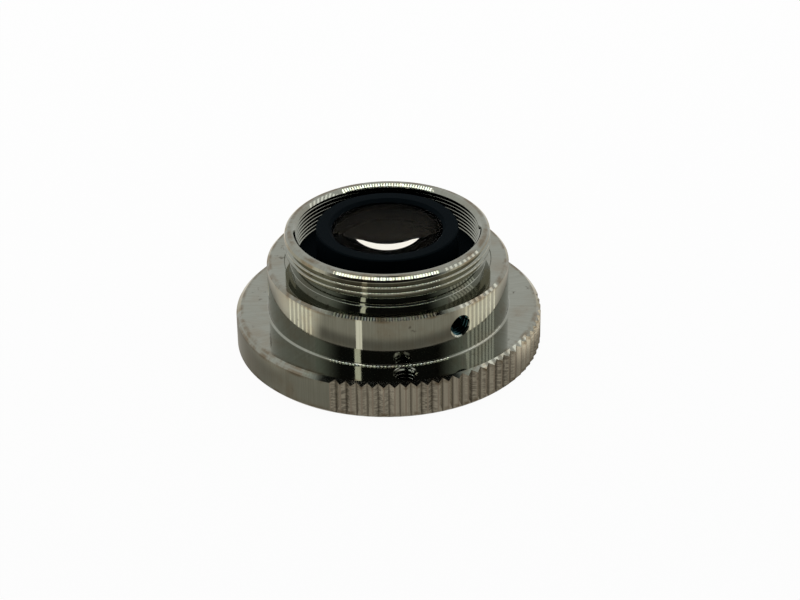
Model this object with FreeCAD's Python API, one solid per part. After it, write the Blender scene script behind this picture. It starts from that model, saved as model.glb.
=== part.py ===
import FreeCAD, Part
import math
import os

# Teleconverter that screws between a C-mount lens and a camera.
# It stands on its lens side: the origin is the centre of that face and +Z points to the camera.
# Angles are measured about +Z, 0 at -Y (the front) and growing towards +X.

# Mount thread, 1 inch across with 32 turns per inch
thread_diameter = 25.4
thread_pitch = 0.79375

# Depth of an inner thread for each millimetre of its pitch
thread_depth_share = 0.5413

# Body, one turned piece: knurled flange, barrel and threaded nose
flange_diameter = 38.0
flange_thickness = 4.9
flange_top_chamfer = 0.55
flange_bottom_chamfer = 0.45
barrel_diameter = 29.9
barrel_height = 6.55
barrel_chamfer = 0.25
barrel_foot_fillet = 0.2
nose_height = 4.25
nose_chamfer = 0.6
neck_diameter = 24.0
neck_height = 1.55
neck_fillet = 0.1
seat_relief_depth = 0.1
seat_relief_clearance = 0.1

# Knurl, straight vee grooves on a part of the flange
knurl_per_turn = 90
knurl_grooves = 30
knurl_start_angle = -20.0
knurl_depth = 0.4

# Bore of the body
front_thread_depth = 4.4
front_thread_chamfer = 0.45
relief_width = 0.7
relief_depth = 0.5
web_thickness = 1.1
cell_thread_diameter = 23.0
cell_thread_pitch = 0.5
rim_width = 0.5

# Screw holes, both for 3 mm screws
screw_diameter = 3.0
screw_pitch = 0.5
screw_hole_allowance = 0.02
lock_hole_drop = 2.75
lock_hole_angle = 35.6
lock_hole_count = 3
top_hole_angle = 6.8
top_hole_gap = 0.3
top_hole_countersink = 0.25

# Set screws that lock the lens cell
set_screw_length = 3.0
set_screw_socket = 1.5
set_screw_socket_depth = 1.3
set_screw_point = 1.6
set_screw_point_length = 0.4
set_screw_clearance = 0.03

# Lens cell
cell_clearance = 0.03
cell_nose_diameter = 17.5
cell_proud = 0.2
cell_face_chamfer = 0.15
cell_thread_length = 5.4
cell_thread_lift = 0.5
cell_thread_chamfer = 0.3
cell_groove_width = 2.4
cell_groove_depth = 0.25
cell_front_diameter = 19.6
cell_web_clearance = 0.25
cell_lip_diameter = 13.7
cell_lip_thickness = 0.4
cell_bevel = 0.4
cell_end_cover = 0.1

# Glass and rings stacked in the cell
glass_diameter = 14.6
glass_clearance = 0.03
glass_land = 0.7
rear_glass_radius = 18.2
rear_glass_edge = 1.4
rear_spacer_height = 0.8
rear_spacer_clearance = 0.05
flint_top_radius = 22.0
flint_edge = 1.2
cement_radius = 24.0
crown_edge = 3.2
crown_bottom_radius = 26.0
stop_thickness = 0.3
stop_opening = 10.4
front_glass_edge = 2.1
front_glass_radius = 26.0
retainer_thread_diameter = 15.8
retainer_height = 0.9
retainer_wall = 1.3
retainer_slot_width = 0.8
retainer_slot_depth = 0.4

# How far a cutter goes past the face that it cuts through
cut_overshoot = 0.5

# Points of an outline that are nearer than this are one point
point_gap = 1e-6

# Places and sizes worked out from the ones above
thread_minor_radius = thread_diameter / 2 - thread_depth_share * thread_pitch
cell_bore_radius = cell_thread_diameter / 2 - thread_depth_share * cell_thread_pitch
screw_inner_radius = screw_diameter / 2 - thread_depth_share * screw_pitch
screw_hole_radius = screw_inner_radius + screw_hole_allowance
shoulder_z = flange_thickness + barrel_height
rim_z = shoulder_z + nose_height
flange_radius = flange_diameter / 2
barrel_radius = barrel_diameter / 2
nose_radius = thread_diameter / 2
neck_radius = neck_diameter / 2
seat_radius = nose_radius + seat_relief_clearance
rim_inner_radius = nose_radius - nose_chamfer - rim_width
web_z = front_thread_depth + relief_width
web_top_z = web_z + web_thickness
lock_hole_z = shoulder_z - lock_hole_drop
lock_hole_angles = [lock_hole_angle + i * 360 / lock_hole_count for i in range(lock_hole_count)]
screw_radius = screw_hole_radius - set_screw_clearance
top_hole_place = barrel_radius + barrel_foot_fillet + top_hole_gap + screw_hole_radius

cell_face_z = rim_z + cell_proud
cell_radius = cell_bore_radius - cell_clearance
cell_nose_radius = cell_nose_diameter / 2
cell_thread_z = web_top_z + cell_thread_lift
cell_shoulder_z = cell_thread_z + cell_thread_length
cell_front_radius = cell_front_diameter / 2
web_bore_radius = cell_front_radius + cell_web_clearance
lip_radius = cell_lip_diameter / 2
lip_z = cell_face_z - cell_lip_thickness
glass_radius = glass_diameter / 2
glass_bore_radius = glass_radius + glass_clearance
glass_clear_radius = glass_radius - glass_land
retainer_radius = retainer_thread_diameter / 2


def sag(radius, reach):
    """Depth of a spherical surface at a distance from its axis."""
    return radius - math.sqrt(radius * radius - reach * reach)


# The stack lies against the lip, each piece under the one before it
rear_bottom_z = lip_z - rear_glass_edge
flint_top_z = rear_bottom_z - rear_spacer_height
cement_edge_z = flint_top_z - flint_edge
crown_bottom_z = cement_edge_z - crown_edge
stop_bottom_z = crown_bottom_z - stop_thickness
front_bottom_z = stop_bottom_z - front_glass_edge
retainer_bottom_z = front_bottom_z - retainer_height
cell_front_z = retainer_bottom_z - cell_end_cover


def place(angle, radius, z):
    """Point at an angle from the front, a distance from the axis and a height."""
    turn = math.radians(angle)
    return FreeCAD.Vector(radius * math.sin(turn), -radius * math.cos(turn), z)


def outward(angle):
    """Unit vector that points away from the axis at an angle from the front."""
    return place(angle, 1.0, 0.0)


def turned(points):
    """Solid turned about Z from an outline of (radius, height) points.

    A third value in a point rounds that corner with a fillet of that radius.
    """
    corners = [FreeCAD.Vector(p[0], 0, p[1]) for p in points]
    edges = []
    starts = []
    ends = []
    count = len(points)
    for i in range(count):
        corner = corners[i]
        if len(points[i]) == 2:
            starts.append(corner)
            ends.append(corner)
            continue
        fillet = points[i][2]
        back = (corners[i - 1] - corner).normalize()
        ahead = (corners[(i + 1) % count] - corner).normalize()
        half = back.getAngle(ahead) / 2
        reach = fillet / math.tan(half)
        middle = (back + ahead).normalize() * (fillet / math.sin(half) - fillet)
        starts.append(corner + back * reach)
        ends.append(corner + ahead * reach)
        edges.append(Part.Arc(starts[i], corner + middle, ends[i]).toShape())
    for i in range(count):
        first = ends[i]
        last = starts[(i + 1) % count]
        if (last - first).Length > point_gap:
            edges.append(Part.LineSegment(first, last).toShape())
    outline = Part.Wire(Part.__sortEdges__(edges))
    return revolve(Part.Face(outline))


def revolve(face):
    """Full turn of a flat face about Z, as a solid with outward faces."""
    solid = face.revolve(FreeCAD.Vector(0, 0, 0), FreeCAD.Vector(0, 0, 1), 360)
    solid = solid.removeSplitter()
    if solid.Volume < 0:
        solid.reverse()
    return solid


def lens(top, bottom):
    """Round glass element between two surfaces of (edge height, radius, reach).

    The radius is positive where the surface bulges up, negative where it sinks, None where it
    is flat. Past its reach the surface goes on as a flat land to the edge of the glass.
    """
    edges = []
    poles = []
    rims = []
    for edge_z, radius, reach in (top, bottom):
        rim = FreeCAD.Vector(glass_radius, 0, edge_z)
        foot = FreeCAD.Vector(reach, 0, edge_z)
        pole = FreeCAD.Vector(0, 0, edge_z)
        if radius is None:
            edges.append(Part.LineSegment(pole, foot).toShape())
        else:
            rise = math.copysign(1, radius)
            pole.z = edge_z + rise * sag(abs(radius), reach)
            middle = FreeCAD.Vector(reach / 2, 0, pole.z - rise * sag(abs(radius), reach / 2))
            edges.append(Part.Arc(pole, middle, foot).toShape())
        if reach < glass_radius:
            edges.append(Part.LineSegment(foot, rim).toShape())
        poles.append(pole)
        rims.append(rim)
    edges.append(Part.LineSegment(rims[0], rims[1]).toShape())
    edges.append(Part.LineSegment(poles[0], poles[1]).toShape())
    return revolve(Part.Face(Part.Wire(Part.__sortEdges__(edges))))


def tapped_hole(start, direction, depth):
    """Round cutter of a tapped hole, at the thread's inner diameter."""
    return Part.makeCylinder(screw_hole_radius, depth, start, direction)


def knurl_cutter():
    """Vee grooves of the knurl, side by side, cut through the flange from face to face."""
    half_step = math.pi / knurl_per_turn
    half_width = flange_radius * math.sin(half_step)
    crest_radius = flange_radius * math.cos(half_step)
    floor_radius = flange_radius - knurl_depth
    slope = half_width / (crest_radius - floor_radius)
    far_radius = crest_radius + cut_overshoot
    far_width = half_width + cut_overshoot * slope
    corners = [
        FreeCAD.Vector(0, -floor_radius, -cut_overshoot),
        FreeCAD.Vector(far_width, -far_radius, -cut_overshoot),
        FreeCAD.Vector(-far_width, -far_radius, -cut_overshoot),
    ]
    section = Part.Face(Part.makePolygon(corners + corners[:1]))
    groove = section.extrude(FreeCAD.Vector(0, 0, flange_thickness + 2 * cut_overshoot))
    grooves = []
    for i in range(knurl_grooves):
        copy = groove.copy()
        angle = knurl_start_angle + i * 360 / knurl_per_turn
        copy.rotate(FreeCAD.Vector(0, 0, 0), FreeCAD.Vector(0, 0, 1), angle)
        grooves.append(copy)
    return grooves


# Mount body: turned, knurled, then drilled and tapped
def mount_body():
    outline = [
        (thread_minor_radius + front_thread_chamfer, 0),
        (flange_radius - flange_bottom_chamfer, 0),
        (flange_radius, flange_bottom_chamfer),
        (flange_radius, flange_thickness - flange_top_chamfer),
        (flange_radius - flange_top_chamfer, flange_thickness),
        (barrel_radius, flange_thickness, barrel_foot_fillet),
        (barrel_radius, shoulder_z - barrel_chamfer),
        (barrel_radius - barrel_chamfer, shoulder_z),
        (seat_radius, shoulder_z),
        (seat_radius - seat_relief_depth, shoulder_z - seat_relief_depth),
        (neck_radius, shoulder_z - seat_relief_depth, neck_fillet),
        (neck_radius, shoulder_z + neck_height),
        (nose_radius, shoulder_z + neck_height),
        (nose_radius, rim_z - nose_chamfer),
        (nose_radius - nose_chamfer, rim_z),
        (rim_inner_radius, rim_z),
        (cell_bore_radius, rim_z - (rim_inner_radius - cell_bore_radius)),
        (cell_bore_radius, web_top_z),
        (web_bore_radius, web_top_z),
        (web_bore_radius, web_z),
        (thread_minor_radius + relief_depth, web_z),
        (thread_minor_radius + relief_depth, front_thread_depth),
        (thread_minor_radius, front_thread_depth),
        (thread_minor_radius, front_thread_chamfer),
    ]
    body = turned(outline)
    holes = []
    lock_hole_start = cell_bore_radius - cut_overshoot
    lock_hole_length = barrel_radius + cut_overshoot - lock_hole_start
    for angle in lock_hole_angles:
        start = place(angle, lock_hole_start, lock_hole_z)
        holes.append(tapped_hole(start, outward(angle), lock_hole_length))
    top = place(top_hole_angle, top_hole_place, flange_thickness)
    down = FreeCAD.Vector(0, 0, -1)
    holes.append(tapped_hole(top, down, flange_thickness))
    mouth = screw_hole_radius + top_hole_countersink
    holes.append(Part.makeCone(mouth, screw_hole_radius, top_hole_countersink, top, down))
    return body.cut(knurl_cutter() + holes)


# Set screws: hexagon socket, flat point, one in each radial hole
def set_screw(angle):
    groove_floor = cell_radius - cell_groove_depth
    tip = place(angle, groove_floor, lock_hole_z)
    away = outward(angle)
    point_end = tip + away * set_screw_point_length
    head = tip + away * set_screw_length
    shank_length = set_screw_length - set_screw_point_length
    shank = Part.makeCylinder(screw_radius, shank_length, point_end, away)
    point = Part.makeCone(set_screw_point / 2, screw_radius, set_screw_point_length, tip, away)
    socket_radius = set_screw_socket / 2 / math.cos(math.pi / 6)
    side = FreeCAD.Vector(-away.y, away.x, 0)
    up = FreeCAD.Vector(0, 0, 1)
    corners = []
    for i in range(6):
        turn = i * math.pi / 3
        reach = side * (socket_radius * math.cos(turn)) + up * (socket_radius * math.sin(turn))
        corners.append(head + reach)
    hexagon = Part.Face(Part.makePolygon(corners + corners[:1]))
    socket = hexagon.extrude(away * -set_screw_socket_depth)
    return shank.fuse(point).cut(socket).removeSplitter()


def set_screws():
    return Part.makeCompound([set_screw(angle) for angle in lock_hole_angles])


# Lens cell: black sleeve with a threaded waist and a narrow nose with an inward lip
def lens_cell():
    groove_low = lock_hole_z - cell_groove_width / 2
    groove_high = lock_hole_z + cell_groove_width / 2
    groove_radius = cell_radius - cell_groove_depth
    outline = [
        (retainer_radius, cell_front_z),
        (cell_front_radius, cell_front_z),
        (cell_front_radius, cell_thread_z),
        (cell_radius - cell_thread_chamfer, cell_thread_z),
        (cell_radius, cell_thread_z + cell_thread_chamfer),
        (cell_radius, groove_low),
        (groove_radius, groove_low),
        (groove_radius, groove_high),
        (cell_radius, groove_high),
        (cell_radius, cell_shoulder_z - cell_thread_chamfer),
        (cell_radius - cell_thread_chamfer, cell_shoulder_z),
        (cell_nose_radius, cell_shoulder_z),
        (cell_nose_radius, cell_face_z - cell_face_chamfer),
        (cell_nose_radius - cell_face_chamfer, cell_face_z),
        (lip_radius + cell_bevel, cell_face_z),
        (lip_radius, lip_z),
        (glass_bore_radius, lip_z),
        (glass_bore_radius, front_bottom_z),
        (retainer_radius, front_bottom_z),
    ]
    return turned(outline)


# Glass, from the camera side to the lens side
def rear_element():
    flat = (lip_z, None, glass_radius)
    return lens(flat, (rear_bottom_z, -rear_glass_radius, glass_clear_radius))


def doublet_flint():
    cement = (cement_edge_z, -cement_radius, glass_radius)
    return lens((flint_top_z, -flint_top_radius, glass_clear_radius), cement)


def doublet_crown():
    cement = (cement_edge_z, -cement_radius, glass_radius)
    return lens(cement, (crown_bottom_z, crown_bottom_radius, glass_clear_radius))


def front_element():
    hollow = (front_bottom_z, front_glass_radius, glass_clear_radius)
    return lens((stop_bottom_z, None, glass_radius), hollow)


# Rings between the glasses and the threaded ring that holds the stack
def rear_spacer():
    inner = glass_clear_radius + rear_spacer_clearance
    outline = [
        (inner, flint_top_z),
        (glass_radius, flint_top_z),
        (glass_radius, rear_bottom_z),
        (inner, rear_bottom_z),
    ]
    return turned(outline)


def aperture_stop():
    outline = [
        (stop_opening / 2, stop_bottom_z),
        (glass_radius, stop_bottom_z),
        (glass_radius, crown_bottom_z),
        (stop_opening / 2, crown_bottom_z),
    ]
    return turned(outline)


def front_retaining_ring():
    outer = retainer_radius - cell_clearance
    inner = outer - retainer_wall
    outline = [
        (inner, retainer_bottom_z),
        (outer, retainer_bottom_z),
        (outer, front_bottom_z),
        (inner, front_bottom_z),
    ]
    slot_reach = outer + cut_overshoot
    slot = Part.makeBox(2 * slot_reach, retainer_slot_width, retainer_slot_depth)
    corner = FreeCAD.Vector(-slot_reach, -retainer_slot_width / 2, retainer_bottom_z)
    slot.translate(corner)
    return turned(outline).cut(slot)


nodes = {
    "mount_body": mount_body,
    "set_screws": set_screws,
    "lens_cell": lens_cell,
    "rear_element": rear_element,
    "rear_spacer": rear_spacer,
    "doublet_flint": doublet_flint,
    "doublet_crown": doublet_crown,
    "aperture_stop": aperture_stop,
    "front_element": front_element,
    "front_retaining_ring": front_retaining_ring,
}

os.makedirs("parts", exist_ok=True)
for name, build in nodes.items():
    build().exportStep("parts/" + name + ".step")
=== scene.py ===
import math
import bmesh
import bpy
from mathutils import Matrix, Vector


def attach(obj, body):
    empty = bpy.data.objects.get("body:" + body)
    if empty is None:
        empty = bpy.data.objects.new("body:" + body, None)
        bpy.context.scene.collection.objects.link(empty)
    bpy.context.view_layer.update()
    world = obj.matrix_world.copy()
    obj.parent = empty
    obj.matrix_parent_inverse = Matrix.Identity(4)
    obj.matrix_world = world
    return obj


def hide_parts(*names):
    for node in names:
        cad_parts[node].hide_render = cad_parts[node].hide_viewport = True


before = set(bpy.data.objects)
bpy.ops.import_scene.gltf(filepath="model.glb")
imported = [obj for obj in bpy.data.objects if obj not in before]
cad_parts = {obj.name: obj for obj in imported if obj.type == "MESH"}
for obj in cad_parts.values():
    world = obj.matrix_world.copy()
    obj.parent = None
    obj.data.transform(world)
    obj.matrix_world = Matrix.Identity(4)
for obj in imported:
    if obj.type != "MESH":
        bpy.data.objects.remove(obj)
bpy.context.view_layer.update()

# Camera: a long lens that looks down on the standing teleconverter from the front.
# The place and the small roll were worked out from the edges of the real object.
mm = 0.001
frame_width = 800
camera_focus_px = 2419.49
camera_drop = math.radians(30.335)
camera_roll = math.radians(-0.818)
camera_place = Vector((1.4435, -260.709, 157.877)) * mm

camera_data = bpy.data.cameras.new("camera")
camera_data.sensor_width = 36.0
camera_data.lens = camera_focus_px / frame_width * camera_data.sensor_width
camera_data.clip_start = 0.01
camera = bpy.data.objects.new("camera", camera_data)
bpy.context.scene.collection.objects.link(camera)
forward = Vector((0, math.cos(camera_drop), -math.sin(camera_drop)))
level_up = Vector((0, math.sin(camera_drop), math.cos(camera_drop)))
level_right = Vector((1, 0, 0))
right = level_right * math.cos(camera_roll) + level_up * math.sin(camera_roll)
up = level_up * math.cos(camera_roll) - level_right * math.sin(camera_roll)
camera_turn = Matrix((right, up, -forward)).transposed().to_4x4()
camera.matrix_world = Matrix.Translation(camera_place) @ camera_turn
bpy.context.scene.camera = camera
bpy.context.scene.view_settings.view_transform = "Standard"


# Studio: a white floor under a plain white sky, with a dark dome on the camera's side.
# The floor keeps the object's shadow, and further out it reads as white. Flat lamps inside the
# dome and on the floor show in the metal alone, as a bright stripe and as rows of ticks and dots.
def new_material(name):
    """Node material with no nodes yet, and functions that add and link its nodes."""
    material = bpy.data.materials.new(name)
    material.use_nodes = True
    material.node_tree.nodes.clear()
    return material, material.node_tree.nodes.new, material.node_tree.links.new


def math_node(add, link, operation, *values):
    """Output of a Math node whose inputs are numbers or other outputs."""
    node = add("ShaderNodeMath")
    node.operation = operation
    for socket, value in zip(node.inputs, values):
        if isinstance(value, (int, float)):
            socket.default_value = value
        else:
            link(value, socket)
    return node.outputs[0]


def add_stage(name, bm, material):
    """Object of the studio, which is no part of the teleconverter."""
    mesh = bpy.data.meshes.new(name)
    bm.to_mesh(mesh)
    bm.free()
    mesh.materials.append(material)
    thing = bpy.data.objects.new(name, mesh)
    bpy.context.scene.collection.objects.link(thing)
    return thing


def blend_node(add, link, low, high, value, start, end):
    """Output that goes smoothly from one number or output to another as a value passes a range."""
    node = add("ShaderNodeMapRange")
    node.interpolation_type = "SMOOTHSTEP"
    node.inputs["From Min"].default_value = low
    node.inputs["From Max"].default_value = high
    for name, end_value in (("To Min", start), ("To Max", end)):
        if isinstance(end_value, (int, float)):
            node.inputs[name].default_value = end_value
        else:
            link(end_value, node.inputs[name])
    link(value, node.inputs["Value"])
    return node.outputs[0]


def turn_from_front(add, link, axes):
    """Angle about Z between the front and a place, from the Separate XYZ node of that place."""
    frontward = math_node(add, link, "MULTIPLY", axes.outputs["Y"], -1.0)
    turn = math_node(add, link, "ARCTAN2", axes.outputs["X"], frontward)
    return math_node(add, link, "ABSOLUTE", turn)


# The metal mirrors the floor as a painted glow: painted shadow near the flange and painted light
# further out. Each light is two distances from the axis, between which it grows, and its strength
# at both. In front a ring of painted shadow lies on it, at whose middle line the last light begins.
floor_half_width = 3.0
front_floor_light = (22 * mm, 32 * mm, 0.44, 0.58)
side_floor_light = (21.5 * mm, 28 * mm, 0.36, 1.3)
rear_floor_light = (23 * mm, 30 * mm, 0.25, 0.95)
shadow_ring_radius = 27.6 * mm
shadow_ring_light = (0.4 * mm, 2.4 * mm, 0.5, 1.0)
front_to_side = (math.radians(47), math.radians(60))
side_to_rear = (math.radians(84), math.radians(108))
covered_radius = 18.5 * mm

floor_white, add, link = new_material("floor_white")
place = add("ShaderNodeTexCoord").outputs["Object"]
distance = add("ShaderNodeVectorMath")
distance.operation = "LENGTH"
link(place, distance.inputs[0])
reach = distance.outputs["Value"]
axes = add("ShaderNodeSeparateXYZ")
link(place, axes.inputs[0])
around = turn_from_front(add, link, axes)
floor_lights = []
for near, far, near_strength, far_strength in (front_floor_light, side_floor_light, rear_floor_light):
    floor_lights.append(blend_node(add, link, near, far, reach, near_strength, far_strength))
front_light, side_light, rear_light = floor_lights
off_ring = math_node(add, link, "ABSOLUTE", math_node(add, link, "SUBTRACT", reach, shadow_ring_radius))
near, far, near_strength, far_strength = shadow_ring_light
ring_light = blend_node(add, link, near, far, off_ring, near_strength, far_strength)
front_light = math_node(add, link, "MULTIPLY", front_light, ring_light)
open_light = blend_node(add, link, *front_to_side, around, front_light, side_light)
open_light = blend_node(add, link, *side_to_rear, around, open_light, rear_light)
# Under the flange the mirrored glow is cut to nothing, a painted shade where the object covers the floor
uncovered = math_node(add, link, "GREATER_THAN", reach, covered_radius)
mirrored_light = math_node(add, link, "MULTIPLY", open_light, uncovered)
path = add("ShaderNodeLightPath")
glow = add("ShaderNodeEmission")
glow.inputs["Color"].default_value = (1, 0.94, 0.82, 1)
link(mirrored_light, glow.inputs["Strength"])
white = add("ShaderNodeEmission")
white.inputs["Color"].default_value = (1, 1, 1, 1)
white.inputs["Strength"].default_value = 1.0
paint = add("ShaderNodeBsdfDiffuse")
paint.inputs["Color"].default_value = (0.84, 0.84, 0.84, 1)
glossy_ray = path.outputs["Is Glossy Ray"]
mirrored = math_node(add, link, "MAXIMUM", glossy_ray, path.outputs["Is Transmission Ray"])
metal_view = add("ShaderNodeMixShader")
link(mirrored, metal_view.inputs[0])
link(paint.outputs[0], metal_view.inputs[1])
link(glow.outputs[0], metal_view.inputs[2])
# The camera sees the floor nearly as white as the sky, with a little paint that takes the shadow
white_share = 0.96
camera_view = add("ShaderNodeMixShader")
link(math_node(add, link, "MULTIPLY", path.outputs["Is Camera Ray"], white_share), camera_view.inputs[0])
link(metal_view.outputs[0], camera_view.inputs[1])
link(white.outputs[0], camera_view.inputs[2])
link(camera_view.outputs[0], add("ShaderNodeOutputMaterial").inputs["Surface"])
bm = bmesh.new()
bmesh.ops.create_grid(bm, x_segments=1, y_segments=1, size=floor_half_width)
add_stage("floor", bm, floor_white)

sky = bpy.data.worlds.new("white_sky")
sky.use_nodes = True
sky.node_tree.nodes["Background"].inputs["Color"].default_value = (1, 1, 1, 1)
sky.node_tree.nodes["Background"].inputs["Strength"].default_value = 1.0
bpy.context.scene.world = sky

# The dome is nearly black in front and grows as light as the sky towards its sides
dome_radius = 240 * mm
dome_wall = (0.5, 66, math.radians(72))
dome_cap = (64, 90, math.pi)
dome_rows = 16
dome_columns = 48
low_grey_turn = (math.radians(44), math.radians(76))
low_grey = 0.035
top_grey_turn = (math.radians(56), math.radians(71))
top_grey = 0.008
low_to_top = (150 * mm, 180 * mm)

dark_dome, add, link = new_material("dark_dome")
axes = add("ShaderNodeSeparateXYZ")
link(add("ShaderNodeTexCoord").outputs["Object"], axes.inputs[0])
around = turn_from_front(add, link, axes)
low_part = blend_node(add, link, *low_grey_turn, around, low_grey, 1.0)
top_part = blend_node(add, link, *top_grey_turn, around, top_grey, 1.0)
grey = blend_node(add, link, *low_to_top, axes.outputs["Z"], low_part, top_part)
glow = add("ShaderNodeEmission")
glow.inputs["Color"].default_value = (0.94, 1, 0.97, 1)
link(grey, glow.inputs["Strength"])
link(glow.outputs[0], add("ShaderNodeOutputMaterial").inputs["Surface"])
bm = bmesh.new()
for low, high, half_turn in (dome_wall, dome_cap):
    verts = []
    for i in range(dome_rows + 1):
        rise = math.radians(low + (high - low) * i / dome_rows)
        verts.append(bm.verts.new((0, -dome_radius * math.cos(rise), dome_radius * math.sin(rise))))
    edges = [bm.edges.new(pair) for pair in zip(verts, verts[1:])]
    start = Matrix.Rotation(-half_turn, 3, "Z")
    bmesh.ops.rotate(bm, cent=(0, 0, 0), matrix=start, verts=verts)
    bmesh.ops.spin(
        bm, geom=verts + edges, axis=(0, 0, 1), angle=2 * half_turn, steps=dome_columns,
        use_merge=half_turn == math.pi,
    )
dome = add_stage("dark_dome", bm, dark_dome)
dome.visible_camera = False


def add_lamps(name, shapes, strength, tint=(1, 1, 1)):
    """Flat lamps, each from the corners of one face, which show in metal alone."""
    white, add, link = new_material(name)
    glow = add("ShaderNodeEmission")
    glow.inputs["Color"].default_value = (*tint, 1)
    glow.inputs["Strength"].default_value = strength
    link(glow.outputs[0], add("ShaderNodeOutputMaterial").inputs["Surface"])
    bm = bmesh.new()
    for corners in shapes:
        bm.faces.new([bm.verts.new(corner) for corner in corners])
    lamps = add_stage(name, bm, white)
    lamps.visible_camera = False
    lamps.visible_diffuse = False
    lamps.visible_transmission = False
    lamps.visible_shadow = False


dome_lamp_reach = 0.97 * dome_radius


def dome_bar(azimuth, low, high, width):
    """Corners of an upright bar just inside the dome, all in degrees."""
    corners = []
    for turn, rise in ((-0.5, low), (0.5, low), (0.5, high), (-0.5, high)):
        around = math.radians(azimuth + turn * width)
        lift = math.radians(rise)
        flat = dome_lamp_reach * math.cos(lift)
        height = dome_lamp_reach * math.sin(lift)
        corners.append((flat * math.sin(around), -flat * math.cos(around), height))
    return corners


# The barrel's radius and the height of its foot, in millimetres, place the lamps that it mirrors
barrel_radius = 14.95
flange_height = 4.9
floor_lamp_height = 0.2


def floor_bar(middle, width, near, far):
    """Corners of a bar on the floor, where the barrel mirrors it.

    middle and width are angles on the barrel, near and far are distances from its wall.
    """
    corners = []
    for turn, reach in ((-0.5, near), (0.5, near), (0.5, far), (-0.5, far)):
        around = math.radians(middle + turn * width)
        x = barrel_radius * math.sin(around) + reach * math.sin(2 * around)
        y = barrel_radius * math.cos(around) + reach * math.cos(2 * around)
        corners.append((x * mm, -y * mm, floor_lamp_height * mm))
    return corners


foot_fillet_depth = 0.1
foot_lamp_reach = 0.96 * dome_radius


def foot_bar(middle, width, low, high):
    """Corners of a bar inside the dome, which the fillet at the barrel's foot mirrors.

    middle and width are angles on the barrel, low and high are tilts of the fillet.
    """
    corners = []
    for turn, tilt in ((-0.5, low), (0.5, low), (0.5, high), (-0.5, high)):
        around = math.radians(middle + turn * width)
        flat = math.cos(math.radians(tilt))
        lift = math.sin(math.radians(tilt))
        face = Vector((flat * math.sin(around), -flat * math.cos(around), lift))
        foot_radius = barrel_radius + foot_fillet_depth
        foot_height = flange_height + foot_fillet_depth
        foot = Vector((foot_radius * math.sin(around), -foot_radius * math.cos(around), foot_height)) * mm
        to_camera = (camera_place - foot).normalized()
        ray = 2 * face.dot(to_camera) * face - to_camera
        nearest = foot.dot(ray)
        reach = math.sqrt(nearest ** 2 - foot.length_squared + foot_lamp_reach ** 2)
        corners.append(foot + ray * (reach - nearest))
    return corners


# A tall lamp, which the barrel mirrors as one bright stripe, and its stripe on the floor
slit_azimuth = -28.8
slit_width = 5.6
slit_rises = ((22, 51), (60, 76))
slit_bars = [dome_bar(slit_azimuth, low, high, slit_width) for low, high in slit_rises]
add_lamps("slit_lamp", slit_bars, 4.5, (1, 0.97, 0.9))
floor_stripe = floor_bar(-13.9, 3.0, 8, 45)
add_lamps("slit_on_floor", [floor_stripe], 1.9, (1, 0.95, 0.84))

# Three rows of small lamps in turning tints: one that the nose's chamfer mirrors as beads, a dim
# one under it, which makes ticks on the shoulder's chamfer, and one for the dots of the fillet.
# The first two sink towards their ends, as the mirrored ray does. Angles are in degrees.
row_tints = ((1, 0.97, 0.9), (0.9, 1, 0.85), (0.86, 0.94, 1))
row_first = -73.2
row_pitch = 3.3
row_count = 44
row_rise = 61
row_droop = 5.2
droop_azimuth = 49.4
nose_bar = (0, 2.5, 1.4)
shoulder_bar = (-4.8, -2.2, 1.2)
shoulder_row_ends = (-61, 53)
foot_row_first = -28
foot_row_pitch = 1.65
foot_row_count = 35
foot_bar_width = 0.75
foot_tilts = (48, 53)
for k, tint in enumerate(row_tints):
    nose_row = []
    shoulder_row = []
    for i in range(k, row_count, len(row_tints)):
        azimuth = row_first + row_pitch * i
        rise = row_rise - row_droop * (azimuth / droop_azimuth) ** 2
        low, high, width = nose_bar
        nose_row.append(dome_bar(azimuth, rise + low, rise + high, width))
        low, high, width = shoulder_bar
        if shoulder_row_ends[0] < azimuth < shoulder_row_ends[1]:
            shoulder_row.append(dome_bar(azimuth, rise + low, rise + high, width))
    foot_row = []
    for i in range(k, foot_row_count, len(row_tints)):
        foot_row.append(foot_bar(foot_row_first + foot_row_pitch * i, foot_bar_width, *foot_tilts))
    add_lamps(f"nose_row_{k}", nose_row, 5.5, tint)
    add_lamps(f"shoulder_row_{k}", shoulder_row, 1.3, tint)
    add_lamps(f"foot_row_{k}", foot_row, 8, tint)

# Tall lamps to the right, and bars of light on the floor at both sides of the barrel
right_first = 79
right_pitch = 5.2
right_count = 8
right_bars = [dome_bar(right_first + right_pitch * i, 6, 50, 2.6) for i in range(right_count)]
add_lamps("right_lamps", right_bars, 2.5)
bar_first = 9.5
bar_pitch = 0.5
floor_bars = []
for side, count in ((-1, 6), (1, 8)):
    for i in range(count):
        middle = math.degrees(math.asin(side * (bar_first + bar_pitch * i) / barrel_radius))
        floor_bars.append(floor_bar(middle, 1.1, 12, 21))
add_lamps("lamps_on_floor", floor_bars, 2.1, (1, 0.95, 0.8))


# Mount body: one piece of brass, turned, knurled, drilled and tapped, then nickel plated.
# It carries the lens thread below, the camera thread above and the fine thread of the bore.
flange_radius = 19.0
flange_chamfer = 0.55
lower_chamfer = 0.45
foot_fillet = 0.3
shoulder_height = 11.45
shoulder_chamfer = 0.32
seat_radius = 12.8
seat_depth = 0.1
neck_radius = 12.0
neck_top = 13.0
nose_base = (neck_top - 0.45, neck_top + 0.2)
nose_radius = 12.7
nose_chamfer = ((0, 0.75), (0.12, 0.33), (0.38, 0.082), (0.52, 0))
rim_height = 15.7
rim_width = 1.1
bore_radius = 11.229
bore_chamfer = 0.4
bore_floor = 6.2
waist_radius = 10.05
waist_floor = 5.1
lens_bore_radius = 12.2703
lens_relief_depth = 0.5
lens_relief_low = 4.4
around_steps = 480
weld_distance = 1e-7


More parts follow.
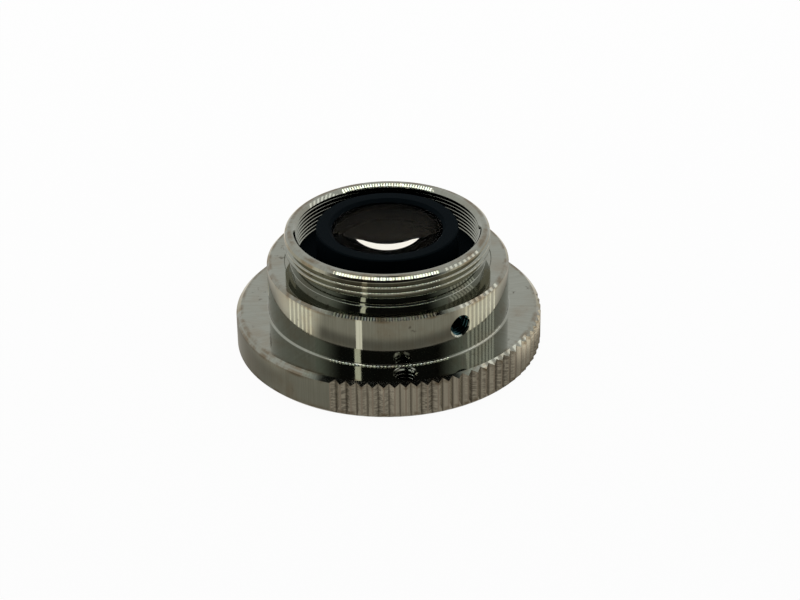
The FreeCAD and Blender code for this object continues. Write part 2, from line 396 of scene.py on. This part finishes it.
def rounded(outline):
    """Points of a closed outline, with an arc where a corner has a third value, its radius.

    The arc turns by at most 10 degrees from point to point.
    """
    points = []
    count = len(outline)
    finest_turn = math.radians(10)
    for i in range(count):
        corner = Vector(outline[i][:2])
        if len(outline[i]) == 2:
            points.append(corner)
            continue
        back = (Vector(outline[i - 1][:2]) - corner).normalized()
        ahead = (Vector(outline[(i + 1) % count][:2]) - corner).normalized()
        half = back.angle(ahead) / 2
        middle = corner + (back + ahead).normalized() * outline[i][2] / math.sin(half)
        start = corner + back * outline[i][2] / math.tan(half) - middle
        sweep = (math.pi - 2 * half) * math.copysign(1, back.cross(ahead))
        arcs = max(2, math.ceil(abs(sweep) / finest_turn))
        for k in range(arcs + 1):
            points.append(middle + Matrix.Rotation(-sweep * k / arcs, 2) @ start)
    return points


def moved(bm, target, matrix):
    """Puts a copy of one bmesh, moved by a matrix, into another."""
    mesh = bpy.data.meshes.new("part")
    bm.to_mesh(mesh)
    mesh.transform(matrix)
    target.from_mesh(mesh)
    bpy.data.meshes.remove(mesh)


def turned(outline, steps=around_steps, closed=True):
    """Form turned about Z from an outline of (radius, height) in millimetres.

    One sector is spun, and its copies are merged into the full turn.
    """
    sector = bmesh.new()
    points = rounded(outline) if closed else [Vector(p) for p in outline]
    verts = [sector.verts.new((p.x * mm, 0, p.y * mm)) for p in points]
    edges = [sector.edges.new(pair) for pair in zip(verts, verts[1:])]
    if closed:
        edges.append(sector.edges.new((verts[-1], verts[0])))
    sectors = 16
    part = 2 * math.pi / sectors
    bmesh.ops.spin(sector, geom=verts + edges, axis=(0, 0, 1), angle=part, steps=steps // sectors)
    bm = bmesh.new()
    for i in range(sectors):
        moved(sector, bm, Matrix.Rotation(i * part, 4, "Z"))
    sector.free()
    bmesh.ops.remove_doubles(bm, verts=bm.verts, dist=weld_distance)
    bmesh.ops.recalc_face_normals(bm, faces=bm.faces)
    return bm


def thread_cutter(target, root, flat, crest, pitch, low, turns, steps, worn=None, start=0):
    """Helical groove of a 60 degree thread, from its root radius to past its crest radius.

    Past the worn radius its sides open wider, which takes the corners off the crests. It starts
    at its low end at an angle from X.
    """
    side_slope = math.tan(math.radians(30))
    worn_slope = 0.94
    half = flat / 2 + abs(crest - root) * side_slope
    corners = [(root, -flat / 2), (root, flat / 2), (crest, half), (crest, -half)]
    if worn:
        worn_half = abs(worn - root) * side_slope + flat / 2
        end_half = worn_half + worn_slope * abs(crest - worn)
        corners[2:] = [(worn, worn_half), (crest, end_half), (crest, -end_half), (worn, -worn_half)]
    turn = bmesh.new()
    verts = [turn.verts.new((radius * mm, 0, (low + z) * mm)) for radius, z in corners]
    edges = [turn.edges.new((verts[i - 1], verts[i])) for i in range(len(verts))]
    climb = pitch * mm / steps
    bmesh.ops.spin(
        turn, geom=verts + edges, axis=(0, 0, 1), angle=2 * math.pi, steps=steps, dvec=(0, 0, climb)
    )
    bm = bmesh.new()
    for i in range(turns):
        moved(turn, bm, Matrix.Translation((0, 0, i * pitch * mm)))
    turn.free()
    bmesh.ops.remove_doubles(bm, verts=bm.verts, dist=weld_distance)
    ends = [e for e in bm.edges if e.is_boundary]
    bmesh.ops.holes_fill(bm, edges=ends, sides=len(corners))
    bmesh.ops.recalc_face_normals(bm, faces=bm.faces)
    moved(bm, target, Matrix.Rotation(start, 4, "Z"))
    bm.free()


def new_object(name, bm):
    """Object of the teleconverter, with the mesh of a bmesh, which is freed."""
    mesh = bpy.data.meshes.new(name)
    bm.to_mesh(mesh)
    bm.free()
    thing = bpy.data.objects.new(name, mesh)
    bpy.context.scene.collection.objects.link(thing)
    return thing


def cut(thing, cutter_bm):
    """Cuts closed forms out of an object's mesh. Forms that are cut together may not overlap."""
    bmesh.ops.recalc_face_normals(cutter_bm, faces=cutter_bm.faces)
    cutter = new_object("cutter", cutter_bm)
    saw = thing.modifiers.new("cut", "BOOLEAN")
    saw.operation = "DIFFERENCE"
    saw.solver = "MANIFOLD"
    saw.object = cutter
    bpy.context.view_layer.update()
    graph = bpy.context.evaluated_depsgraph_get()
    result = bpy.data.meshes.new_from_object(thing.evaluated_get(graph))
    thing.modifiers.clear()
    old = thing.data
    thing.data = result
    result.name = old.name
    bpy.data.meshes.remove(old)
    bpy.data.objects.remove(cutter)


def shade(thing):
    """Smooth faces with hard edges past an angle, where the wide faces stay flat."""
    sharp_angle = math.radians(12)
    thing.data.polygons.foreach_set("use_smooth", [True] * len(thing.data.polygons))
    thing.data.set_sharp_from_angle(angle=sharp_angle)
    flats = thing.modifiers.new("flats", "WEIGHTED_NORMAL")
    flats.mode = "FACE_AREA"
    flats.keep_sharp = True


# Half section of the body: from the edge of the lens's bore out, up and back down the bore. The
# nose's chamfer is worn round, so it has three faces, given as steps in from its wall and rim.
nose_corner = [(nose_radius - inward, rim_height - down) for inward, down in nose_chamfer]
body_outline = [
    (lens_bore_radius + lower_chamfer, 0, 0.04),
    (flange_radius - lower_chamfer, 0, 0.06),
    (flange_radius, lower_chamfer, 0.06),
    (flange_radius, flange_height - flange_chamfer),
    (flange_radius - flange_chamfer, flange_height),
    (barrel_radius, flange_height, foot_fillet),
    (barrel_radius, shoulder_height - shoulder_chamfer),
    (barrel_radius - shoulder_chamfer, shoulder_height),
    (seat_radius, shoulder_height),
    (seat_radius - seat_depth, shoulder_height - seat_depth),
    (neck_radius, shoulder_height - seat_depth, 0.1),
    (neck_radius, nose_base[0], 0.05),
    (nose_radius, nose_base[1], 0.03),
    *nose_corner,
    (nose_radius - rim_width, rim_height, 0.02),
    (bore_radius, rim_height - bore_chamfer, 0.04),
    (bore_radius, bore_floor),
    (waist_radius, bore_floor, 0.05),
    (waist_radius, waist_floor, 0.05),
    (lens_bore_radius + lens_relief_depth, waist_floor),
    (lens_bore_radius + lens_relief_depth, lens_relief_low),
    (lens_bore_radius, lens_relief_low),
    (lens_bore_radius, lower_chamfer, 0.03),
]
mount_body = new_object("mount_body_finished", turned(body_outline))

# Knurl: vee grooves round a part of the flange, cut as one comb that reaches past its faces
knurl_step = math.radians(4)
knurl_first = -20
knurl_count = 30
knurl_floor = flange_radius - 0.4
knurl_crest = flange_radius * math.cos(knurl_step / 2)
knurl_overlap = 0.012
comb_low = -0.5
comb_reach = flange_radius + 1
comb_lift = flange_height + 1


def comb_corner(bm, k, radius):
    """Corner of the comb's section, at the k-th half step of the knurl."""
    around = math.radians(knurl_first) + (k - 1) * knurl_step / 2
    reach = radius * mm
    return bm.verts.new((reach * math.sin(around), -reach * math.cos(around), comb_low * mm))


cutters = bmesh.new()
comb = []
for k in range(2 * knurl_count + 1):
    comb.append(comb_corner(cutters, k, knurl_floor if k % 2 else knurl_crest + knurl_overlap))
for k in range(2 * knurl_count, -1, -4):
    comb.append(comb_corner(cutters, k, comb_reach))
section = cutters.faces.new(comb)
extruded = bmesh.ops.extrude_face_region(cutters, geom=[section])
lifted = [v for v in extruded["geom"] if isinstance(v, bmesh.types.BMVert)]
bmesh.ops.translate(cutters, vec=(0, 0, comb_lift * mm), verts=lifted)

# Threads: 32 turns to the inch on the nose and in the mount below, and a fine one in the bore
mount_pitch = 25.4 / 32
bore_pitch = 0.5
thread_steps = 360
nose_groove = dict(root=12.21, flat=0.1, crest=12.785, worn=12.68)
thread_cutter(
    cutters, **nose_groove, pitch=mount_pitch, low=12.76, turns=3, steps=thread_steps, start=math.pi / 2
)
bore_groove = dict(root=11.53, flat=0.06, crest=11.13)
thread_cutter(cutters, **bore_groove, pitch=bore_pitch, low=11.95, turns=7, steps=thread_steps)
lens_groove = dict(root=12.7, flat=0.1, crest=12.2)
thread_cutter(cutters, **lens_groove, pitch=mount_pitch, low=-0.6, turns=7, steps=thread_steps)

# Three radial holes take the screws that lock the lens cell. One more hole stands upright in the
# flange, close beside the barrel. All are drilled and countersunk, and tapped afterwards.
screw_hole_radius = 1.2494
drill_steps = 64
lock_hole_count = 3
lock_hole_height = 8.7
lock_hole_angle = 35.6
lock_hole_depth = 4.6
lock_countersink = 0.3
top_hole_angle = 6.8
top_hole_place = barrel_radius + 0.5 + screw_hole_radius
top_countersink = 0.25
lock_drill_outline = [
    (0, -lock_hole_depth),
    (screw_hole_radius, -lock_hole_depth),
    (screw_hole_radius, -0.2),
    (screw_hole_radius + lock_countersink, 0.1),
    (screw_hole_radius + lock_countersink, 1),
    (0, 1),
]
drill = turned(lock_drill_outline, drill_steps, closed=False)
lock_holes = []
for i in range(lock_hole_count):
    around = math.radians(lock_hole_angle + 360 / lock_hole_count * i)
    outward = Vector((math.sin(around), -math.cos(around), 0))
    turn = outward.to_track_quat("Z", "X").to_matrix().to_4x4()
    place = outward * barrel_radius * mm + Vector((0, 0, lock_hole_height * mm))
    lock_holes.append(Matrix.Translation(place) @ turn)
for hole in lock_holes:
    moved(drill, cutters, hole)
drill.free()

around = math.radians(top_hole_angle)
top_hole = Vector((math.sin(around), -math.cos(around), 0)) * top_hole_place * mm
top_drill_outline = [
    (0, -0.5),
    (screw_hole_radius, -0.5),
    (screw_hole_radius, flange_height - top_countersink),
    (screw_hole_radius + top_countersink, flange_height),
    (screw_hole_radius + top_countersink, flange_height + 0.05),
    (0, flange_height + 0.05),
]
top_drill = turned(top_drill_outline, drill_steps, closed=False)
moved(top_drill, cutters, Matrix.Translation(top_hole))
top_drill.free()
cut(mount_body, cutters)

tap_groove = dict(root=1.5, flat=0.06, crest=1.14, pitch=0.5, steps=48)
taps = bmesh.new()
tap = bmesh.new()
thread_cutter(tap, **tap_groove, low=-4.2, turns=10)
for hole in lock_holes:
    moved(tap, taps, hole)
tap.free()
tap = bmesh.new()
thread_cutter(tap, **tap_groove, low=-0.4, turns=11)
moved(tap, taps, Matrix.Translation(top_hole))
tap.free()
cut(mount_body, taps)
shade(mount_body)


def new_group(name, inputs, output):
    """Node group with number inputs and one number output, and functions that fill it."""
    group = bpy.data.node_groups.new(name, "ShaderNodeTree")
    for socket in inputs:
        group.interface.new_socket(name=socket, in_out="INPUT", socket_type="NodeSocketFloat")
    group.interface.new_socket(name=output, in_out="OUTPUT", socket_type="NodeSocketFloat")
    add = group.nodes.new
    link = group.links.new
    return group, add, link, add("NodeGroupInput").outputs, add("NodeGroupOutput").inputs[0]


def add_group(add, group, **values):
    """Output of a node group placed in a material with its own values."""
    node = add("ShaderNodeGroup")
    node.node_tree = group
    for name, value in values.items():
        node.inputs[name].default_value = value
    return node.outputs[0]


def vector_node(add, link, operation, *values):
    """Node of vector arithmetic whose inputs are numbers, vectors or other outputs."""
    node = add("ShaderNodeVectorMath")
    node.operation = operation
    for socket, value in zip(node.inputs, values):
        if isinstance(value, tuple):
            socket.default_value = value
        else:
            link(value, socket)
    return node


def noise_node(add, link, place, detail, roughness):
    """Noise from 0 to 1 at a place, at one cell for each unit."""
    node = add("ShaderNodeTexNoise")
    node.inputs["Scale"].default_value = 1.0
    node.inputs["Detail"].default_value = detail
    node.inputs["Roughness"].default_value = roughness
    link(place, node.inputs["Vector"])
    return node.outputs[0]


def blend_colours(add, link, factor, low, high):
    """Colour between two colours or outputs, by a mask."""
    node = add("ShaderNodeMix")
    node.data_type = "RGBA"
    link(factor, node.inputs["Factor"])
    for name, colour in (("A", low), ("B", high)):
        if isinstance(colour, tuple):
            node.inputs[name].default_value = (*colour, 1)
        else:
            link(colour, node.inputs[name])
    return node.outputs["Result"]


# Grain that a tool leaves on a turned surface: streaks around it, or up and out along it
tool_grain, add, link, given, result = new_group("tool_grain", ("Around", "Along"), "Grain")
place = add("ShaderNodeTexCoord").outputs["Object"]
flat_place = vector_node(add, link, "MULTIPLY", place, (1, 1, 0)).outputs[0]
radius = vector_node(add, link, "LENGTH", flat_place).outputs["Value"]
height = add("ShaderNodeSeparateXYZ")
link(place, height.inputs[0])
along = math_node(add, link, "ADD", radius, height.outputs["Z"])
circle = add("ShaderNodeVectorMath")
circle.operation = "SCALE"
link(vector_node(add, link, "NORMALIZE", flat_place).outputs[0], circle.inputs[0])
link(given["Around"], circle.inputs["Scale"])
rise = add("ShaderNodeCombineXYZ")
link(math_node(add, link, "MULTIPLY", along, given["Along"]), rise.inputs["Z"])
grain_place = vector_node(add, link, "ADD", circle.outputs[0], rise.outputs[0]).outputs[0]
link(noise_node(add, link, grain_place, 2.0, 0.6), result)

# Blotches of stain, tarnish and dust
blotches, add, link, given, result = new_group("blotches", ("Scale", "Shift", "Low", "High"), "Mask")
place = add("ShaderNodeTexCoord").outputs["Object"]
shift = add("ShaderNodeCombineXYZ")
link(given["Shift"], shift.inputs["Z"])
spread = add("ShaderNodeVectorMath")
spread.operation = "SCALE"
link(place, spread.inputs[0])
link(given["Scale"], spread.inputs["Scale"])
blotch_place = vector_node(add, link, "ADD", spread.outputs[0], shift.outputs[0]).outputs[0]
limits = add("ShaderNodeMapRange")
limits.interpolation_type = "SMOOTHSTEP"
link(noise_node(add, link, blotch_place, 5.0, 0.62), limits.inputs["Value"])
link(given["Low"], limits.inputs["From Min"])
link(given["High"], limits.inputs["From Max"])
link(limits.outputs[0], result)

plated, add, link = new_material("worn_nickel_plate")
place = add("ShaderNodeTexCoord").outputs["Object"]
axes = add("ShaderNodeSeparateXYZ")
link(place, axes.inputs[0])
height = axes.outputs["Z"]
flat_place = vector_node(add, link, "MULTIPLY", place, (1, 1, 0)).outputs[0]
radius = vector_node(add, link, "LENGTH", flat_place).outputs["Value"]
behind = math_node(add, link, "MULTIPLY", axes.outputs["Y"], -1.0)
around = math_node(add, link, "ARCTAN2", axes.outputs["X"], behind)
section_place = add("ShaderNodeCombineXYZ")
link(radius, section_place.inputs["X"])
link(height, section_place.inputs["Y"])

# The knurled facets lie a little inside the planes of the flange's wall and of its two chamfers
facet_margin = 0.02
top_plane = flange_radius + flange_height - flange_chamfer - facet_margin
low_plane = flange_radius - lower_chamfer - facet_margin
knurl_start = math.radians(knurl_first) - knurl_step / 2
knurl_end = knurl_start + knurl_count * knurl_step
above_top = math_node(add, link, "ADD", radius, height)
below_edge = math_node(add, link, "SUBTRACT", radius, height)
facets = math_node(add, link, "GREATER_THAN", radius, (knurl_floor - 2 * facet_margin) * mm)
facet_limits = (
    ("LESS_THAN", above_top, top_plane * mm),
    ("LESS_THAN", below_edge, low_plane * mm),
    ("GREATER_THAN", around, knurl_start),
    ("LESS_THAN", around, knurl_end),
)
for operation, value, limit in facet_limits:
    inside = math_node(add, link, operation, value, limit)
    facets = math_node(add, link, "MULTIPLY", facets, inside)

# Their crests are rubbed, their valleys are darker, and here and there a facet shows cutter marks
crest_low = (flange_radius - 0.1) * mm
crest_high = (flange_radius - 0.03) * mm
crest_band = blend_node(add, link, crest_low, crest_high, radius, 0.0, 1.0)
crests = math_node(add, link, "MULTIPLY", facets, crest_band)
valley_low = (knurl_floor + 0.02) * mm
valley_high = (knurl_floor + 0.12) * mm
valleys = blend_node(add, link, valley_low, valley_high, radius, 0.6, 0.0)
marks_around = 22.0
marks_along = 4500.0
marks_place = add("ShaderNodeCombineXYZ")
link(math_node(add, link, "MULTIPLY", around, marks_around), marks_place.inputs["X"])
link(math_node(add, link, "MULTIPLY", height, marks_along), marks_place.inputs["Z"])
marks = noise_node(add, link, marks_place.outputs[0], 2.0, 0.6)
marks = blend_node(add, link, 0.44, 0.56, marks, 0.0, 1.0)
marked_zones = add_group(add, tool_grain, Around=5.0, Along=0.0)
marked_zones = blend_node(add, link, 0.42, 0.56, marked_zones, 0.0, 0.7)
marks = math_node(add, link, "MULTIPLY", marks, marked_zones)

# The plating is worn through to the brass along its edges, given as (radius, height)
nose_wear = 0.6
shoulder_wear = 0.25
worn_edges = (
    (flange_radius, lower_chamfer),
    (flange_radius, flange_height - flange_chamfer),
    (flange_radius - flange_chamfer, flange_height),
    (barrel_radius, shoulder_height - shoulder_wear),
    (barrel_radius - shoulder_wear, shoulder_height),
    (nose_radius, rim_height - nose_wear),
    (nose_radius - nose_wear, rim_height),
)
nearest = None
for edge_radius, edge_height in worn_edges:
    edge_place = (edge_radius * mm, edge_height * mm, 0)
    distance = vector_node(add, link, "DISTANCE", section_place.outputs[0], edge_place).outputs["Value"]
    nearest = math_node(add, link, "MINIMUM", nearest, distance) if nearest else distance
near_edge = blend_node(add, link, 0.12 * mm, 0.5 * mm, nearest, 1.0, 0.0)
edge_patches = add_group(add, blotches, Scale=420.0, Shift=3.0, Low=0.4, High=0.62)
edge_wear = math_node(add, link, "MULTIPLY", near_edge, edge_patches)

# Stains lie over the plating, in large faint clouds and small dark spots
clouds = add_group(add, blotches, Scale=230.0, Shift=11.0, Low=0.45, High=0.75)
spots = add_group(add, blotches, Scale=900.0, Shift=5.0, Low=0.6, High=0.72)
spotted_zones = add_group(add, blotches, Scale=160.0, Shift=8.0, Low=0.5, High=0.62)
spots = math_node(add, link, "MULTIPLY", spots, spotted_zones)
rings = add_group(add, tool_grain, Around=2.0, Along=14000.0)
streaks = add_group(add, tool_grain, Around=110.0, Along=160.0)

# The holes of the screws get painted shade inside, with a teal tint taken from the screws' gleam: a mask
# of three rods that end under the barrel's wall
dark_rod_radius = 1.6
dark_rod_end = barrel_radius - 0.15
level_place = vector_node(add, link, "SUBTRACT", place, (0, 0, lock_hole_height * mm)).outputs[0]
tapped = None
for i in range(lock_hole_count):
    hole_turn = math.radians(lock_hole_angle + 360 / lock_hole_count * i)
    hole_line = (math.sin(hole_turn), -math.cos(hole_turn), 0)
    ahead = vector_node(add, link, "DOT_PRODUCT", level_place, hole_line).outputs["Value"]
    off_line = vector_node(add, link, "CROSS_PRODUCT", level_place, hole_line).outputs[0]
    off_line = vector_node(add, link, "LENGTH", off_line).outputs["Value"]
    inside = math_node(add, link, "LESS_THAN", off_line, dark_rod_radius * mm)
    inside = math_node(add, link, "MULTIPLY", inside, math_node(add, link, "GREATER_THAN", ahead, 0))
    tapped = math_node(add, link, "MAXIMUM", tapped, inside) if tapped else inside
under_wall = math_node(add, link, "LESS_THAN", radius, dark_rod_end * mm)
tapped = math_node(add, link, "MULTIPLY", tapped, under_wall)

dull_nickel = (0.19, 0.195, 0.16)
bright_nickel = (0.3, 0.31, 0.27)
yellow_stain = (0.2, 0.165, 0.115)
dull_facet = (0.3, 0.28, 0.235)
bright_facet = (0.56, 0.535, 0.46)
cutter_mark = (0.13, 0.12, 0.1)
rubbed_crest = (0.34, 0.3, 0.25)
valley_dark_tone = (0.09, 0.08, 0.062)
bare_brass = (0.13, 0.095, 0.055)
dark_spot = (0.045, 0.035, 0.022)
painted_hole_shade = (0.03, 0.075, 0.085)
nickel = blend_colours(add, link, streaks, dull_nickel, bright_nickel)
nickel = blend_colours(add, link, math_node(add, link, "MULTIPLY", clouds, 0.5), nickel, yellow_stain)
facet_tone = blend_colours(add, link, streaks, dull_facet, bright_facet)
facet_tone = blend_colours(add, link, marks, facet_tone, cutter_mark)
facet_tone = blend_colours(add, link, crests, facet_tone, rubbed_crest)
facet_tone = blend_colours(add, link, valleys, facet_tone, valley_dark_tone)
tone = blend_colours(add, link, facets, nickel, facet_tone)
tone = blend_colours(add, link, math_node(add, link, "MULTIPLY", edge_wear, 0.75), tone, bare_brass)
tone = blend_colours(add, link, math_node(add, link, "MULTIPLY", spots, 0.8), tone, dark_spot)
# Painted shade, tinted teal, inside the screws' holes
tone = blend_colours(add, link, tapped, tone, painted_hole_shade)
metal = add("ShaderNodeBsdfPrincipled")
link(tone, metal.inputs["Base Color"])
metal.inputs["Metallic"].default_value = 1.0
dullness = blend_node(add, link, 0, 1, facets, 0.045, 0.22)
for mask, share in ((rings, 0.015), (edge_wear, 0.015), (clouds, 0.03)):
    dullness = math_node(add, link, "ADD", dullness, math_node(add, link, "MULTIPLY", mask, share))
link(dullness, metal.inputs["Roughness"])
metal.inputs["Anisotropic"].default_value = 0.6
metal.inputs["Anisotropic Rotation"].default_value = 0.25
across = vector_node(add, link, "CROSS_PRODUCT", (0, 0, 1), place).outputs[0]
link(across, metal.inputs["Tangent"])
relief = add("ShaderNodeBump")
relief.inputs["Strength"].default_value = 0.12
relief.inputs["Distance"].default_value = 0.002 * mm
link(math_node(add, link, "ADD", rings, spots), relief.inputs["Height"])
link(relief.outputs[0], metal.inputs["Normal"])
link(metal.outputs[0], add("ShaderNodeOutputMaterial").inputs["Surface"])
mount_body.data.materials.clear()
mount_body.data.materials.append(plated)
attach(mount_body, "root")
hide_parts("mount_body")


# Lens cell: aluminium sleeve, turned and black anodised. It screws into the bore and
# three set screws lock it at its groove.
cell_radius = 11.2
cell_low = 6.7
cell_high = 12.1
cell_chamfer = 0.3
groove_radius = 10.95
groove_low = 7.5
groove_high = 9.9
skirt_radius = 9.8
skirt_low = 5.5
ring_seat_radius = 7.9
ring_seat_high = 6.5
cell_nose_radius = 8.75
cell_nose_high = 15.9
cell_nose_chamfer = 0.15
cell_bore_radius = 7.33
lip_radius = 6.85
lip_low = 15.5
cell_steps = 256
cell_outline = [
    (ring_seat_radius, skirt_low),
    (skirt_radius, skirt_low, 0.08),
    (skirt_radius, cell_low),
    (cell_radius - cell_chamfer, cell_low),
    (cell_radius, cell_low + cell_chamfer),
    (cell_radius, groove_low),
    (groove_radius, groove_low),
    (groove_radius, groove_high),
    (cell_radius, groove_high),
    (cell_radius, cell_high - cell_chamfer),
    (cell_radius - cell_chamfer, cell_high),
    (cell_nose_radius, cell_high, 0.1),
    (cell_nose_radius, cell_nose_high - cell_nose_chamfer),
    (cell_nose_radius - cell_nose_chamfer, cell_nose_high),
    (lip_radius + cell_nose_high - lip_low, cell_nose_high, 0.04),
    (lip_radius, lip_low),
    (cell_bore_radius, lip_low),
    (cell_bore_radius, ring_seat_high),
    (ring_seat_radius, ring_seat_high),
]
lens_cell = new_object("lens_cell_finished", turned(cell_outline, cell_steps))
shade(lens_cell)
anodised, add, link = new_material("black_anodising")
black = add("ShaderNodeBsdfPrincipled")
black.inputs["Base Color"].default_value = (0.003, 0.006, 0.008, 1)
black.inputs["Roughness"].default_value = 0.6
black.inputs["Specular IOR Level"].default_value = 0.01
link(black.outputs[0], add("ShaderNodeOutputMaterial").inputs["Surface"])
lens_cell.data.materials.append(anodised)
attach(lens_cell, "root")
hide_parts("lens_cell")


# Glass: four elements, ground and polished from optical glass, coated, and blackened round their
# edges. The rear one, two cemented as a doublet, and the front one are stacked in the cell's bore.
glass_radius = 7.3
glass_clear_radius = 6.6
glass_steps = 192
edge_paint_depth = 0.02
full_mirror = (0.35, 0.95)


def sag(radius, reach):
    """How far a spherical face falls away from its pole, at a distance from the axis."""
    return radius - math.sqrt(radius * radius - reach * reach)


def surface(edge_height, radius, reach, rings=28):
    """Points from the axis out along a spherical face, positive radius bulging up."""
    if radius is None:
        return [(0, edge_height), (reach, edge_height)]
    rise = math.copysign(1, radius)
    pole = edge_height + rise * sag(abs(radius), reach)
    steps = [reach * k / rings for k in range(rings + 1)]
    return [(x, pole - rise * sag(abs(radius), x)) for x in steps]


def lens(name, top, bottom, index, shine, tint):
    """Round glass element between two faces, with its rim painted black.

    Its coating lets a share of the plain reflection through, in its tint. Past the angle at which
    glass mirrors all that comes from inside, it still does.
    """
    upper = surface(*top)
    lower = surface(*bottom)
    rim = [(glass_radius, top[0]), (glass_radius, bottom[0])]
    outline = []
    for point in upper + rim + lower[::-1]:
        if point not in outline[-1:]:
            outline.append(point)
    glass = new_object(name, turned(outline, glass_steps, closed=False))
    shade(glass)
    material, add, link = new_material(name + "_glass")
    mirror = add("ShaderNodeBsdfPrincipled")
    mirror.inputs["Base Color"].default_value = (*tint, 1)
    mirror.inputs["Roughness"].default_value = 0.0
    mirror.inputs["IOR"].default_value = index
    mirror.inputs["Transmission Weight"].default_value = 1.0
    clear = add("ShaderNodeBsdfRefraction")
    clear.inputs["Color"].default_value = (0.97, 0.95, 0.9, 1)
    clear.inputs["Roughness"].default_value = 0.0
    clear.inputs["IOR"].default_value = index
    fresnel = add("ShaderNodeFresnel")
    fresnel.inputs["IOR"].default_value = index
    coat = add("ShaderNodeMixShader")
    link(blend_node(add, link, *full_mirror, fresnel.outputs[0], shine, 1.0), coat.inputs[0])
    link(clear.outputs[0], coat.inputs[1])
    link(mirror.outputs[0], coat.inputs[2])
    link(coat.outputs[0], add("ShaderNodeOutputMaterial").inputs["Surface"])
    glass.data.materials.append(material)
    glass.data.materials.append(anodised)
    for face in glass.data.polygons:
        if Vector(face.center[:2]).length > (glass_radius - edge_paint_depth) * mm:
            face.material_index = 1
    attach(glass, "root")
    return glass


# Each face is its edge's height, its radius (none where it is flat) and how far out it reaches
rear_faces = ((15.5, None, glass_radius), (14.1, -18.2, glass_clear_radius))
rear = lens("rear_element_finished", *rear_faces, 1.62, 0.04, (1, 1, 1))
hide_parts("rear_element")
flint_faces = ((13.3, -22.0, glass_clear_radius), (12.1, -24.0, glass_radius))
flint = lens("doublet_flint_finished", *flint_faces, 1.7, 0.03, (1, 0.45, 0.15))
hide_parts("doublet_flint")
crown_faces = ((12.095, -24.0, glass_radius), (8.9, 26.0, glass_clear_radius))
crown = lens("doublet_crown_finished", *crown_faces, 1.52, 0.03, (0.9, 0.85, 0.35))
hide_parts("doublet_crown")
front_faces = ((8.6, None, glass_radius), (6.5, 26.0, glass_clear_radius))
front = lens("front_element_finished", *front_faces, 1.6, 0.06, (0.8, 0.9, 0.4))
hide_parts("front_element")


# Rings: a spacer and a stop between the elements, and a threaded ring that holds the stack in the
# cell from the front. They are turned from aluminium and blackened, and fine tool marks show on them.
satin, add, link = new_material("satin_black_rings")
black = add("ShaderNodeBsdfPrincipled")
black.inputs["Roughness"].default_value = 0.22
ring_black = (0.004, 0.004, 0.004)
ring_brown = (0.03, 0.022, 0.012)
ring_grain = add_group(add, tool_grain, Around=2.0, Along=9000.0)
ring_tone = blend_colours(add, link, ring_grain, ring_black, ring_brown)
link(ring_tone, black.inputs["Base Color"])
link(black.outputs[0], add("ShaderNodeOutputMaterial").inputs["Surface"])
for name in ("rear_spacer", "aperture_stop", "front_retaining_ring"):
    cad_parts[name].data.materials.clear()
    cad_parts[name].data.materials.append(satin)


# Set screws: hexagon socket screws of hardened steel, one in each radial hole. They are blackened
# with a teal gleam, and they press on the groove of the lens cell.
blackened, add, link = new_material("blackened_steel")
steel = add("ShaderNodeBsdfPrincipled")
steel.inputs["Metallic"].default_value = 1.0
steel.inputs["Roughness"].default_value = 0.22
dark_teal = (0.02, 0.05, 0.055)
pale_teal = (0.05, 0.12, 0.13)
steel_patches = add_group(add, blotches, Scale=2600.0, Shift=2.0, Low=0.35, High=0.65)
steel_tone = blend_colours(add, link, steel_patches, dark_teal, pale_teal)
link(steel_tone, steel.inputs["Base Color"])
link(steel.outputs[0], add("ShaderNodeOutputMaterial").inputs["Surface"])
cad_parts["set_screws"].data.materials.clear()
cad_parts["set_screws"].data.materials.append(blackened)
